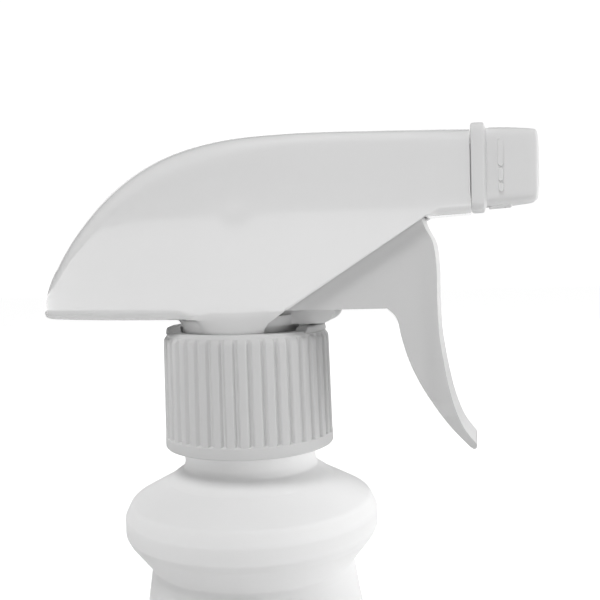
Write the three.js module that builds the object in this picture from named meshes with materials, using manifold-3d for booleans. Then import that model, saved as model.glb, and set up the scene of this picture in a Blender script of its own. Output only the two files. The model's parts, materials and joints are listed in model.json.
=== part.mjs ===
// A trigger spray bottle: a blow-moulded bottle, a ribbed screw closure, and a pump head under a glossy cover.
// Millimetres, +Z up, +X towards the nozzle, origin at the centre of the bottle's base.
import * as THREE from "three";
import { mergeVertices } from "three/addons/utils/BufferGeometryUtils.js";
import Module from "manifold-3d";

const wasm = await Module();
wasm.setup();

// ---------------------------------------------------------------- driving dimensions

const seat = 171; // height of the closure's lower edge above the bottle's base
const running = 0.1; // play between pieces that slide or turn on each other

const bottle = { bodyR: 35, cornerR: 5, wall: 1.3, boreR: 10.6, rootR: 12.4, neckR: 13.3, lip: 17.2 };
const thread = { pitch: 4.233, turns: 1.15, bottleR: 13.6, closureR: 12.95 };
const closure = { bandR: 17, innerR: 14.1, topR: 16.6, height: 23.2, ceiling: 19, wellZ: 21, wellR: 13.1 };
const ribs = { count: 40, depth: 0.55, share: 0.6 };
const axisZ = { pump: 34.2, pivot: 48, discharge: 52.8 }; // heights above the closure's lower edge
const pivotX = 33; // the trigger's pivot, forward of the bottle's axis
const pump = { boreR: 6.3, outerR: 7.5, back: 5, front: 19 };
const tube = { outerR: 5, boreR: 3.4, feedR: 1.8, step: 28, end: 49.6 };
const skin = 1.3; // wall of the cover and the trigger
const barrelFront = 44.9; // front face of the cover
const nozzle = { back: 45.3, flangeEnd: 47.9, front: 57.5, flangeHalf: 8, backHalf: 7, frontHalf: 6.35 };

// ---------------------------------------------------------------- geometry helpers

// A closed geometry as a manifold-3d solid, faces outwards.
function solid(geometry) {
  const bare = geometry.index ? geometry.toNonIndexed() : geometry.clone();
  bare.deleteAttribute("normal");
  bare.deleteAttribute("uv");
  const merged = mergeVertices(bare, 1e-4);
  const corners = [...merged.index.array];
  const triVerts = [];
  for (let i = 0; i < corners.length; i += 3) {
    const [a, b, c] = corners.slice(i, i + 3);
    if (a !== b && b !== c && c !== a) triVerts.push(a, b, c);
  }
  const build = (tris) =>
    new wasm.Manifold(
      new wasm.Mesh({
        numProp: 3,
        vertProperties: merged.attributes.position.array,
        triVerts: new Uint32Array(tris),
      }),
    );
  const made = build(triVerts);
  return made.volume() < 0 ? build(triVerts.reverse()) : made;
}

function geometryOf(manifold) {
  const { vertProperties, triVerts, numProp } = manifold.getMesh();
  const positions = [];
  for (let i = 0; i < vertProperties.length; i += numProp) {
    positions.push(vertProperties[i], vertProperties[i + 1], vertProperties[i + 2]);
  }
  const geometry = new THREE.BufferGeometry();
  geometry.setAttribute("position", new THREE.Float32BufferAttribute(positions, 3));
  geometry.setIndex([...triVerts]);
  geometry.computeVertexNormals();
  return geometry;
}

const join = (first, ...rest) => rest.reduce((whole, piece) => whole.add(piece), first);
const cut = (first, ...rest) => rest.reduce((whole, piece) => whole.subtract(piece), first);

// A turned piece: [radius, height] points spun about Z.
function turned(profile, segments = 32) {
  const points = profile.map(([r, z]) => new THREE.Vector2(r, z));
  return new THREE.LatheGeometry(points, segments).rotateX(Math.PI / 2);
}

// A closed tube or rod between two heights.
function ring(innerR, outerR, low, high, segments = 32) {
  const profile = [[innerR, low], [outerR, low], [outerR, high], [innerR, high]];
  if (innerR > 0) profile.push([innerR, low]);
  return turned(profile, segments);
}

// The same pieces laid along X at a height, or along Y.
const alongX = (geometry, z = 0) => geometry.rotateY(Math.PI / 2).translate(0, 0, z);
const alongY = (geometry, x, z) => geometry.rotateX(-Math.PI / 2).translate(x, 0, z);

const rodX = (r, from, to, z, segments = 24) => solid(alongX(ring(0, r, from, to, segments), z));
const rodY = (r, half, x, z, segments = 20) => solid(alongY(ring(0, r, -half, half, segments), x, z));
const rodZ = (r, from, to, x = 0, segments = 24) =>
  solid(ring(0, r, from, to, segments).translate(x, 0, 0));

function block([x0, x1], [y0, y1], [z0, z1]) {
  const box = new THREE.BoxGeometry(x1 - x0, y1 - y0, z1 - z0);
  return solid(box.translate((x0 + x1) / 2, (y0 + y1) / 2, (z0 + z1) / 2));
}

function shapeOf(points) {
  return new THREE.Shape(points.map(([a, b]) => new THREE.Vector2(a, b)));
}

// A side view (X, Z) given a width across Y, and a plan view (X, Y) given a height.
function sidePrism(points, width) {
  const flat = new THREE.ExtrudeGeometry(shapeOf(points), { depth: width, bevelEnabled: false });
  return solid(flat.rotateX(Math.PI / 2).translate(0, width / 2, 0));
}
function planPrism(points, low, high) {
  const flat = new THREE.ExtrudeGeometry(shapeOf(points), { depth: high - low, bevelEnabled: false });
  return solid(flat.translate(0, 0, low));
}

// A skin over rings of equally many points, closed by a fan at each end.
function loft(rings) {
  const n = rings[0].length;
  const middle = (points) =>
    points.reduce((sum, p) => sum.add(p), new THREE.Vector3()).divideScalar(points.length);
  const vertices = [...rings.flat(), middle(rings[0]), middle(rings.at(-1))];
  const [first, last] = [vertices.length - 2, vertices.length - 1];
  const faces = [];
  for (let k = 0; k < n; k++) {
    const next = (k + 1) % n;
    const end = (rings.length - 1) * n;
    faces.push(first, next, k, last, end + k, end + next);
    for (let i = 0; i < rings.length - 1; i++) {
      const [a, b] = [i * n, (i + 1) * n];
      faces.push(a + k, a + next, b + k, b + k, a + next, b + next);
    }
  }
  const geometry = new THREE.BufferGeometry().setFromPoints(vertices);
  geometry.setIndex(faces);
  return solid(geometry);
}

// A rounded rectangle in the plane X = x.
function roundedSection(x, half, low, high, topR, lowR, steps = 4) {
  const corners = [[1, 1, topR], [-1, 1, topR], [-1, -1, lowR], [1, -1, lowR]];
  return corners.flatMap(([sideY, sideZ, wanted], quarter) => {
    const r = Math.min(wanted, half * 0.95, (high - low) * 0.48);
    const centreZ = sideZ > 0 ? high - r : low + r;
    return Array.from({ length: steps + 1 }, (_, i) => {
      const angle = ((quarter + i / steps) * Math.PI) / 2;
      return new THREE.Vector3(
        x,
        sideY * (half - r) + r * Math.cos(angle),
        centreZ + r * Math.sin(angle),
      );
    });
  });
}

// The height of a curve of (x, value) points at x, for a curve whose x only rises.
function curveAt(curve, x) {
  let [low, high] = [0, 1];
  for (let i = 0; i < 40; i++) {
    const middle = (low + high) / 2;
    if (curve.getPoint(middle).x < x) low = middle;
    else high = middle;
  }
  return curve.getPoint(low).y;
}
const curveThrough = (points) =>
  new THREE.SplineCurve(points.map(([a, b]) => new THREE.Vector2(a, b)));

// A thread ridge: a trapezium carried round a right-hand helix.
function threadRidge(rootR, tipR, rootHalf, tipHalf, startZ, turns) {
  const stepsPerTurn = 20;
  const steps = Math.round(turns * stepsPerTurn);
  const section = [[rootR, -rootHalf], [tipR, -tipHalf], [tipR, tipHalf], [rootR, rootHalf]];
  return loft(
    Array.from({ length: steps + 1 }, (_, i) => {
      const angle = (i / stepsPerTurn) * 2 * Math.PI;
      const z = startZ + (i / stepsPerTurn) * thread.pitch;
      return section.map(
        ([r, dz]) => new THREE.Vector3(r * Math.cos(angle), r * Math.sin(angle), z + dz),
      );
    }),
  );
}

// A coil spring along X.
class Coil extends THREE.Curve {
  constructor(radius, from, to, turns) {
    super();
    Object.assign(this, { radius, from, to, turns });
  }
  getPoint(t, target = new THREE.Vector3()) {
    const angle = t * this.turns * 2 * Math.PI;
    return target.set(
      this.from + (this.to - this.from) * t,
      this.radius * Math.cos(angle),
      this.radius * Math.sin(angle),
    );
  }
}
function coilSpring({ radius, wireR, from, to, turns }) {
  const sides = 5;
  const wire = Array.from({ length: sides }, (_, i) => {
    const angle = (i / sides) * 2 * Math.PI;
    return [wireR * Math.cos(angle), wireR * Math.sin(angle)];
  });
  const path = new Coil(radius, from + wireR, to - wireR, turns);
  const steps = Math.round(turns * 10);
  return new THREE.ExtrudeGeometry(shapeOf(wire), { steps, extrudePath: path });
}

// ---------------------------------------------------------------- materials

const plastic = (color, roughness) => new THREE.MeshStandardMaterial({ color, roughness, metalness: 0 });
const materials = {
  bottle: plastic(0xeceeee, 0.45),
  cover: plastic(0xf1f2f2, 0.18),
  closure: plastic(0xeaebeb, 0.42),
  lever: plastic(0xeceded, 0.35),
  nozzle: plastic(0xeeefef, 0.38),
  body: plastic(0xe6e8e6, 0.4),
  natural: plastic(0xe2e6e6, 0.35),
  rubber: plastic(0x3a3c3e, 0.75),
  steel: new THREE.MeshStandardMaterial({ color: 0xb9bcc0, roughness: 0.25, metalness: 1 }),
};

const whole = new THREE.Group();
const head = new THREE.Group();
head.position.z = seat;
whole.add(head);

function place(group, name, geometry, material) {
  const mesh = new THREE.Mesh(geometry, material);
  mesh.name = name;
  group.add(mesh);
}

// ---------------------------------------------------------------- bottle

// The outside from the base's centre to the neck, heights above the base.
function bottleOutline() {
  const { bodyR, cornerR, neckR } = bottle;
  const panelDepth = 0.4;
  const [panelLow, panelHigh, bodyTop] = [18, 78, 84];
  const corner = [-60, -30, 0].map((degrees) => {
    const angle = THREE.MathUtils.degToRad(degrees);
    return [bodyR - cornerR + cornerR * Math.cos(angle), cornerR + cornerR * Math.sin(angle)];
  });
  const panel = [
    [bodyR, panelLow],
    [bodyR - panelDepth, panelLow + 1],
    [bodyR - panelDepth, panelHigh - 1],
    [bodyR, panelHigh],
  ];
  const flare = curveThrough([
    [bodyR, bodyTop],
    [31.8, seat - 70],
    [25, seat - 49],
    [22, seat - 33],
    [21, seat - 26.6],
  ]);
  const bulge = [
    [20.8, -24.6], [20.8, -23.4], [21.7, -21.9], [23.1, -20.2], [24.7, -18.2], [25.5, -16.4],
    [25.6, -14.2], [25.2, -12.4], [24.3, -11], [22.5, -9.9], [16.6, -6.6], [14.1, -4.5], [neckR, -3.2],
  ].map(([r, z]) => [r, seat + z]);
  const flarePoints = flare.getPoints(6).map((p) => [p.x, p.y]);
  return [[0, 0], [bodyR - cornerR, 0], ...corner, ...panel, ...flarePoints, ...bulge];
}

// The same outline moved inwards by the wall.
function insetOutline(outline, wall) {
  return outline.map(([r, z], i) => {
    const [r0, z0] = outline[Math.max(i - 1, 0)];
    const [r1, z1] = outline[Math.min(i + 1, outline.length - 1)];
    const length = Math.hypot(r1 - r0, z1 - z0);
    return [Math.max(r - (wall * (z1 - z0)) / length, 0), z + (wall * (r1 - r0)) / length];
  });
}

function bottleSolid() {
  const { rootR, neckR, boreR, lip, wall } = bottle;
  const outline = bottleOutline();
  const inside = insetOutline(outline.slice(0, -1), wall).reverse();
  const finish = [[neckR, seat + 0.5], [rootR, seat + 1.2], [rootR, seat + lip], [boreR, seat + lip]];
  const shell = solid(turned([...outline, ...finish, [boreR, seat - 2.4], ...inside], 32));
  const ridge = threadRidge(rootR - 0.3, thread.bottleR, 1.1, 0.45, seat + 9.2, thread.turns);
  return shell.add(ridge);
}

place(whole, "bottle", geometryOf(bottleSolid()), materials.bottle);

// ---------------------------------------------------------------- closure

// One ring of the ribbed wall at a height: four points to each rib.
function ribbedRing(radius, z) {
  const pitch = (2 * Math.PI) / ribs.count;
  const slope = 0.1;
  const rib = [
    [-ribs.share / 2, 0],
    [ribs.share / 2, 0],
    [ribs.share / 2 + slope, ribs.depth],
    [1 - ribs.share / 2 - slope, ribs.depth],
  ];
  return Array.from({ length: ribs.count }, (_, i) =>
    rib.map(([at, sunk]) => {
      const angle = (i + at) * pitch;
      return new THREE.Vector3((radius - sunk) * Math.cos(angle), (radius - sunk) * Math.sin(angle), z);
    }),
  ).flat();
}

// A low lug on the top ring, as an arc about the +X or -X side.
function closureLug(middle) {
  const halfAngle = Math.PI / 6;
  const lug = new THREE.Shape();
  lug.absarc(0, 0, 16.2, middle - halfAngle, middle + halfAngle, false);
  lug.absarc(0, 0, closure.wellR, middle + halfAngle, middle - halfAngle, true);
  const raised = { depth: 1, bevelEnabled: false, curveSegments: 8 };
  return solid(new THREE.ExtrudeGeometry(lug, raised).translate(0, 0, closure.height - 0.2));
}

function closureSolid() {
  const { bandR, innerR, topR, height, ceiling, wellZ, wellR } = closure;
  const [bandTop, ribTop, edge] = [2.4, 22.2, 0.8];
  const band = solid(turned([[0, 0], [bandR, 0], [bandR, bandTop], [0, bandTop]], 40));
  const ribbed = loft([ribbedRing(bandR - 0.1, 1), ribbedRing(topR, ribTop)]);
  const top = solid(
    turned([[0, 10], [topR - ribs.depth, 10], [topR - ribs.depth, height - edge],
      [topR - ribs.depth - edge, height], [0, height]], 40),
  );
  const outside = join(band, ribbed, top, closureLug(0), closureLug(Math.PI));
  const hollow = rodZ(innerR, -1, ceiling, 0, 32);
  const well = rodZ(wellR, wellZ, height + 3, 0, 32);
  const hole = rodZ(9.6, ceiling - 1, wellZ + 1, 0, 24);
  const ridge = threadRidge(innerR + 0.3, thread.closureR, 1, 0.4, 9.2 - 1.4 - thread.pitch, 1.6);
  return cut(outside, hollow, well, hole).add(ridge);
}

place(head, "closure", geometryOf(closureSolid()), materials.closure);

// ---------------------------------------------------------------- inlet: retainer, gasket, ball, dip tube

const inlet = { flangeLow: 18.2, flangeTop: 18.9, chamberFloor: 19.6, top: 25, socketTop: 17.2, foot: 8 };
const dipTube = { outerR: 3, boreR: 2.1, foot: -166 };
const ball = { r: 2.4, seatR: 1.6 };
const ventX = 7.35; // air returns to the bottle through this hole

function retainerSolid() {
  const { flangeLow, flangeTop, chamberFloor, top, socketTop, foot } = inlet;
  const socketR = dipTube.outerR + 0.05;
  const body = turned([
    [socketR, foot], [4.3, foot], [4.3, 16.4], [10.3, 16.4], [10.3, flangeLow], [12.6, flangeLow],
    [12.6, flangeTop], [5.4, flangeTop], [5.4, top], [2.8, top], [2.8, chamberFloor + 0.6],
    [ball.seatR, chamberFloor], [ball.seatR, socketTop], [socketR, socketTop], [socketR, foot],
  ]);
  return cut(solid(body), rodZ(0.8, 16, 19.5, ventX, 12));
}

place(head, "tube_retainer", geometryOf(retainerSolid()), materials.natural);
place(head, "gasket", ring(10.65, 13.2, bottle.lip + 0.05, inlet.flangeLow - 0.05, 36), materials.rubber);

const ballRest = inlet.chamberFloor + Math.sqrt(ball.r ** 2 - ball.seatR ** 2) + 0.05;
place(head, "inlet_ball", new THREE.SphereGeometry(ball.r, 16, 12).translate(0, 0, ballRest), materials.steel);

function dipTubeSolid() {
  const { outerR, boreR, foot } = dipTube;
  const straight = solid(ring(boreR, outerR, foot, inlet.socketTop - 0.2, 20));
  const wedge = new THREE.BoxGeometry(20, 20, 10).translate(0, 0, -5).rotateY(Math.PI / 4);
  return straight.subtract(solid(wedge.translate(0, 0, foot + outerR)));
}

place(head, "dip_tube", geometryOf(dipTubeSolid()), materials.natural);

// ---------------------------------------------------------------- pump body and its plug

const columnTop = 57.2;
const riserR = 2.2;

function pumpBodySolid() {
  const flangeZ = [24.3, 26.2];
  const stem = solid(
    turned([
      [0, 18.95], [9.2, 18.95], [9.2, 21.15], [10.6, 21.15], [10.6, flangeZ[0]], [11.7, flangeZ[0]],
      [11.7, flangeZ[1]], [6, flangeZ[1]], [6, columnTop], [0, columnTop],
    ], 28),
  );
  const cylinder = rodX(pump.outerR, 0, pump.front, axisZ.pump, 24);
  const discharge = rodX(tube.outerR, 4.2, tube.end, axisZ.discharge, 24);
  const snapBead = rodX(tube.outerR + 0.35, 46, 46.8, axisZ.discharge, 24);
  const web = sidePrism([[0, 40], [18, 40], [31, 46.5], [31, 51], [0, 51]], 2.4);
  const hanger = block([31, 35], [-4, 4], [axisZ.pivot, axisZ.discharge - 2]);
  const boss = rodY(3, 5.5, pivotX, axisZ.pivot);
  const trunnions = rodY(2, 7.5, pivotX, axisZ.pivot);
  const gusset = new THREE.Shape();
  gusset.moveTo(6, 30).lineTo(6, 24.4).lineTo(16.2, 24.4);
  gusset.absarc(16.2, 27.4, 3, -Math.PI / 2, 0, false).lineTo(19, 30);
  const gussetPlate = sidePrism(gusset.getPoints(6).map((p) => [p.x, p.y]), 10);
  const wings = block([-4, 2], [-12, 12], [46.6, 48.6]);

  const sealGroove = solid(alongX(ring(tube.outerR - 0.6, tube.outerR + 1, 47.6, 48.8, 24), axisZ.discharge));
  const bores = [
    rodZ(5.5, 18, 25.2),
    rodZ(riserR, 25, columnTop + 1),
    block([-0.6, 0.6], [-3.2, 3.2], [24, 27]),
    block([-3.2, 3.2], [-0.6, 0.6], [24, 27]),
    rodX(1.3, 0, pump.back + 1, axisZ.pump, 12),
    rodX(pump.boreR, pump.back, pump.front + 1, axisZ.pump, 24),
    rodX(tube.feedR, 0, tube.step + 1, axisZ.discharge, 16),
    rodX(tube.boreR, tube.step, tube.end + 1, axisZ.discharge, 20),
    rodZ(0.7, 18, axisZ.pump - 4, ventX, 12),
    sealGroove,
  ];
  const outside = join(
    stem, cylinder, discharge, snapBead, web, hanger, boss, trunnions, gussetPlate, wings,
  );
  return cut(outside, ...bores);
}

place(head, "pump_body", geometryOf(pumpBodySolid()), materials.body);

const plugProfile = [[0, columnTop - 2.4], [riserR - 0.05, columnTop - 2.4], [riserR - 0.05, columnTop + 0.05],
  [4, columnTop + 0.05], [4, columnTop + 0.5], [0, columnTop + 0.5]];
place(head, "body_plug", turned(plugProfile, 24), materials.natural);

// ---------------------------------------------------------------- piston, cup and return spring

const trigger = { pushDrop: 14, swing: THREE.MathUtils.degToRad(22), pushR: 1.5 };
const cup = { back: 14.5, front: 18.5 };
const halfSwing = trigger.swing / 2;
const push = {
  x: pivotX + trigger.pushDrop * Math.sin(halfSwing),
  z: axisZ.pivot - trigger.pushDrop * Math.cos(halfSwing),
};
const rodFront = push.x - trigger.pushR - running;

const plunger = [
  [0, cup.back + 0.1], [3.9, cup.back + 0.1], [3.9, cup.front + 0.05], [5.7, cup.front + 0.05],
  [5.7, cup.front + 1], [3.2, cup.front + 1], [3.2, rodFront - 1], [3.8, rodFront - 1],
  [3.8, rodFront], [0, rodFront],
];
place(head, "piston_rod", alongX(turned(plunger, 24), axisZ.pump), materials.natural);

const cupR = pump.boreR - running;
const cupProfile = [
  [3.95, cup.back], [cupR, cup.back], [cupR - 0.4, cup.back + 1.2], [cupR - 0.4, cup.front - 1.2],
  [cupR, cup.front], [3.95, cup.front], [3.95, cup.back],
];
place(head, "piston_cup", alongX(turned(cupProfile, 24), axisZ.pump), materials.rubber);

const returnSpring = { radius: 4.9, wireR: 0.4, from: pump.back + 0.05, to: cup.back - 0.05, turns: 4.5 };
place(head, "return_spring", coilSpring(returnSpring).translate(0, 0, axisZ.pump), materials.steel);

// ---------------------------------------------------------------- outlet: valve, spring, swirl core, seal

const valveBack = tube.step + 0.05;
const valveProfile = [
  [0, valveBack], [2.4, valveBack], [3, valveBack + 0.8], [3, valveBack + 2], [1.5, valveBack + 2.4],
  [1.5, valveBack + 6], [0, valveBack + 6],
];
place(head, "outlet_valve", alongX(turned(valveProfile, 20), axisZ.discharge), materials.natural);

const core = { back: 38.5, head: 49.7, face: 51.2, nose: 52.2 };
const outletSpring = { radius: 2.4, wireR: 0.25, from: valveBack + 2.5, to: core.back - 0.05, turns: 5 };
place(head, "outlet_spring", coilSpring(outletSpring).translate(0, 0, axisZ.discharge), materials.steel);

function swirlCoreSolid() {
  const spindle = solid(
    alongX(
      turned([[0, core.back], [3.3, core.back], [3.3, core.head], [4.5, core.head], [4.5, core.face],
        [2.9, core.face], [2.9, core.nose], [0, core.nose]], 24),
    ),
  );
  const channels = [0, 1, 2].map((i) => {
    const channel = new THREE.BoxGeometry(core.nose, 1, 1.6).translate(core.nose / 2 + 35, 0, 3.6);
    return solid(channel.rotateX((i * 2 * Math.PI) / 3));
  });
  return cut(spindle, ...channels);
}
place(head, "swirl_core", geometryOf(swirlCoreSolid()).translate(0, 0, axisZ.discharge), materials.natural);

const sealRing = new THREE.TorusGeometry(tube.outerR, 0.55, 6, 24).rotateY(Math.PI / 2);
place(head, "nozzle_seal", sealRing.translate(48.2, 0, axisZ.discharge), materials.rubber);

// ---------------------------------------------------------------- nozzle cap

function nozzleCapSolid() {
  const square = (x, half, r) => roundedSection(x, half, -half, half, r, r, 3);
  const { back, flangeEnd, front, flangeHalf, backHalf, frontHalf } = nozzle;
  const cap = loft([
    square(back, flangeHalf, 1.2), square(flangeEnd - 0.5, flangeHalf, 1.2),
    square(flangeEnd, flangeHalf - 0.5, 1.2), square(flangeEnd + 0.1, backHalf, 1.4),
    square((flangeEnd + front) / 2, backHalf - 0.15, 1.4), square(front, frontHalf, 1.4),
  ]);
  const bores = [
    rodX(5.2, back - 1, back + 1, 0, 32),
    rodX(5.75, back + 0.5, 51.4, 0, 32),
    rodX(3.3, 51, 52.6, 0, 24),
    rodX(0.5, 52, 55, 0, 10),
    rodX(3.2, 54.6, front + 1, 0, 24),
  ];
  return cut(cap, ...bores);
}
place(head, "nozzle_cap", geometryOf(nozzleCapSolid()).translate(0, 0, axisZ.discharge), materials.nozzle);

// ---------------------------------------------------------------- cover

const roofLine = curveThrough([
  [-43.8, 28.3], [-41.3, 31.9], [-37.8, 38.3], [-31.4, 45.6], [-23, 52.6], [-13, 57.5],
  [-1.4, 59.9], [12, 60.6], [28, 60.5], [46, 60],
]);
const planLine = curveThrough([
  [-43.8, 1.5], [-42.2, 4.6], [-38, 8], [-30, 11], [-18, 13.2], [-5, 13.9], [8, 13.4], [27, 10.5], [46, 7.7],
]);
const underside = 26; // the tail's lower edge
const slant = { lowX: 7.4, lowZ: 25, highX: 37, highZ: 44.1 }; // the cover's front edge, in side view

function coverBottom(x) {
  if (x > slant.highX) return slant.highZ + (x - slant.highX) * 0.045;
  const onSlant = slant.lowZ + ((x - slant.lowX) * (slant.highZ - slant.lowZ)) / (slant.highX - slant.lowX);
  return Math.max(underside, onSlant - 2);
}

function coverRing(x, inset, low) {
  const half = curveAt(planLine, x) - inset;
  const topR = THREE.MathUtils.mapLinear(THREE.MathUtils.clamp(x, -10, barrelFront), -10, barrelFront, 6, 2.6);
  return roundedSection(x, half, low, curveAt(roofLine, x) - inset, topR - inset * 0.6, 1.8 - inset);
}

function coverSolid() {
  const tail = [-1, -8, -15, -21, -26.5, -31, -34.6, -37.6, -39.9, -41.6, -42.9, -43.7];
  const front = [barrelFront, 41, 38.1, 37.1, 36.9, 28, 18, 9];
  const outside = loft([...front, ...tail].map((x) => coverRing(x, 0, coverBottom(x))));

  const open = -6; // how far the hollow runs out below the open front
  const hollowRings = [
    ...[barrelFront + 0.5, 41, 38.4].map((x) => coverRing(x, skin, coverBottom(x) + skin)),
    ...[37.8, 28, 18, 9, 6].map((x) => coverRing(x, skin, coverBottom(Math.min(x, 36.5)) + open)),
    ...[4.5, ...tail.slice(0, -3), -42.2].map((x) => coverRing(x, skin, underside + skin)),
  ];
  const lip = 2.8; // the tail's rim turns in by this much
  const mouth = [-39, -35.5, -30, -22, -14, -8].map((x) => [x, curveAt(planLine, x) - lip]);
  const mouthOutline = [...mouth, ...mouth.map(([x, y]) => [x, -y]).reverse()];
  const tailMouth = planPrism(mouthOutline, underside - 1, underside + 2);

  const skirtOuter = rodZ(12.8, 21.6, 28, 0, 32);
  const skirtInner = rodZ(12, 20, 30, 0, 32);
  const { lowX, lowZ, highX, highZ } = slant;
  const frontCut = sidePrism(
    [[4.8, 18], [4.8, 22.8], [5.6, 24.2], [lowX, lowZ], [highX, highZ], [highX, 18]], 40,
  );
  return cut(outside.add(skirtOuter), loft(hollowRings), tailMouth, skirtInner, frontCut);
}
place(head, "shroud", geometryOf(coverSolid()), materials.cover);

// ---------------------------------------------------------------- trigger

// Half the lever's width at x: wide behind, where its cheeks straddle the pump, narrow at the finger.
const cheekHalf = (x) => (x < 34 ? 7.8 + 0.15 * (34 - x) : Math.max(7.8 - 0.1 * (x - 34), 7.2));

function triggerSolid() {
  const front = curveThrough([
    [35.6, 46.2], [36.7, 42.4], [38.3, 39], [38.8, 34], [38.8, 28], [39.2, 20.8], [40.9, 11.1],
    [43, 5], [45.6, 1.4],
  ]);
  const back = curveThrough([
    [44.3, 0.9], [41.2, 4.3], [38.3, 8.2], [35.4, 13], [33.4, 17.4], [32.1, 21.8], [31.1, 26], [29, 27.45],
  ]);
  const frontPoints = front.getPoints(14).map((p) => [p.x, p.y]);
  const backPoints = back.getPoints(12).map((p) => [p.x, p.y]);
  const eye = { r: 3.9, from: 0.15 * Math.PI, to: 0.8 * Math.PI };
  const eyeArc = Array.from({ length: 6 }, (_, i) => {
    const angle = eye.to + ((eye.from - eye.to) * i) / 5;
    return [pivotX + eye.r * Math.cos(angle), axisZ.pivot + eye.r * Math.sin(angle)];
  });
  const lowerEdge = 27.45;
  const side = [...eyeArc, ...frontPoints, [45.3, 0.4], ...backPoints, [10.6, lowerEdge], [9.4, 28.4], [9.4, 32]];

  const planAt = (inset) => {
    const outer = [8, 34, 39.5, 47].map((x) => [x, cheekHalf(x) - inset]);
    return [...outer, ...outer.map(([x, y]) => [x, -y]).reverse()];
  };
  const frontWall = 1.7;
  const hollowFront = frontPoints.slice(1, -3).map(([x, z]) => [x - frontWall, z]);
  const hollowSide = [[0, 60], [50, 60], [50, 45.4], [35.2, 45.4], ...hollowFront, [42, 4.6], [36, -4], [0, -4]];

  const outside = sidePrism(side, 30).intersect(planPrism(planAt(0), -5, 60));
  const hollow = sidePrism(hollowSide, 30).intersect(planPrism(planAt(skin), -6, 61));
  const pushRib = join(
    rodY(trigger.pushR, 5, push.x, push.z),
    block([push.x, 38.2], [-5, 5], [push.z - 1.1, push.z + 1.1]),
  );
  return cut(outside, hollow).add(pushRib).subtract(rodY(2 + running, 12, pivotX, axisZ.pivot, 24));
}
place(head, "trigger", geometryOf(triggerSolid()), materials.lever);

export default whole;
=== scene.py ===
# %% [markdown]
# # A trigger spray bottle
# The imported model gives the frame: which bodies there are, where each piece lies and what moves. This
# script builds the looks around it. Everything is in metres, +Z up, +X towards the nozzle, and each mesh is
# written in its final place, so every object stays at the origin, unturned and unscaled.

# %% Load the frame
import json
import math

import bmesh
import bpy
import numpy as np
from mathutils import Matrix, Vector


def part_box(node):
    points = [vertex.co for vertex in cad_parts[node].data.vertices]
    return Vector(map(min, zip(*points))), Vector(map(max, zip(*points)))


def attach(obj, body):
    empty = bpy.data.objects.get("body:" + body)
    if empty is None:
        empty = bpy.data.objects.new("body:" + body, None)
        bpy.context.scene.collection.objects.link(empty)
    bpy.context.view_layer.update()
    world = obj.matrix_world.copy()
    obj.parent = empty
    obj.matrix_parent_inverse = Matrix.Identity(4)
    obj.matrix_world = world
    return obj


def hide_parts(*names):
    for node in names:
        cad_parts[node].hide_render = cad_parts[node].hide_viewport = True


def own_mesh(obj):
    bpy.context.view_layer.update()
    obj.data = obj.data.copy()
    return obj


for left_over in ("Cube", "Light", "Camera"):
    if left_over in bpy.data.objects:
        bpy.data.objects.remove(bpy.data.objects[left_over])

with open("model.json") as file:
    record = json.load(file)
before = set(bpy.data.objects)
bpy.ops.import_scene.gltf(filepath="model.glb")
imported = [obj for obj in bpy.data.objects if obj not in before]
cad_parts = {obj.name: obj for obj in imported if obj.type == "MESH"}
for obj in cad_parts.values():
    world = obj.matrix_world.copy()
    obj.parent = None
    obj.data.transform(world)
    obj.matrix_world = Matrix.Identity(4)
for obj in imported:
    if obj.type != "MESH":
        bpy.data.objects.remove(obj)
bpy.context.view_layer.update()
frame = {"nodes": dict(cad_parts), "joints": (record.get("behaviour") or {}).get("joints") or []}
nodes = frame["nodes"]
joints = {joint["name"]: joint for joint in frame["joints"]}

# %% [markdown]
# ## Camera
# The camera stands a hand's breadth in front of the sprayer, a little to the nozzle's side, at the height
# of the pump. Its place is counted from the closure's lower edge, which is where the head meets the bottle.
# A slight roll is kept, because the bottle leans a touch in the view that is wanted.

# %% Camera
MM = 0.001
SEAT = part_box("closure")[0].z  # height of the closure's lower edge


def look_matrix(azimuth, down, roll):
    """A camera's turn: azimuth from +Y towards -X, down below level, roll of the picture, in degrees."""
    azimuth, down, roll = (math.radians(a) for a in (azimuth, down, roll))
    level = Vector((-math.sin(azimuth), math.cos(azimuth), 0))
    ahead = level * math.cos(down) - Vector((0, 0, math.sin(down)))
    right = Vector((math.cos(azimuth), math.sin(azimuth), 0))
    up = right.cross(ahead)
    tilted_right = right * math.cos(roll) - up * math.sin(roll)
    tilted_up = right * math.sin(roll) + up * math.cos(roll)
    return Matrix((tilted_right, tilted_up, -ahead)).transposed().to_4x4()


camera = bpy.data.objects.new("camera", bpy.data.cameras.new("camera"))
bpy.context.scene.collection.objects.link(camera)
camera.data.sensor_width = 36
camera.data.lens = 51
camera.data.clip_start = 0.01
eye = Vector((0.04659, -0.16594, SEAT + 0.0387))
camera.matrix_world = Matrix.Translation(eye) @ look_matrix(azimuth=12, down=3.37, roll=1.8)
bpy.context.scene.camera = camera
print("camera at", [round(c, 4) for c in eye])

# %% [markdown]
# ## Stage and light
# A white product on white is drawn by its shading, so the surroundings that light it are dimmer than the
# white the camera sees. The key light stands high behind the camera and is small enough for the cover to
# shade the lever beneath it. Low strips stand around the object, as high as the pump, and the polished
# cover mirrors them: their top edge becomes the level line along the cover's flank. A wide pale backdrop
# behind it all is caught by every edge that turns away from the camera, so that the outlines stay light
# against the white.

# %% Stage and light
scene = bpy.context.scene
scene.view_settings.view_transform = "Standard"
scene.view_settings.look = "None"


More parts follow.
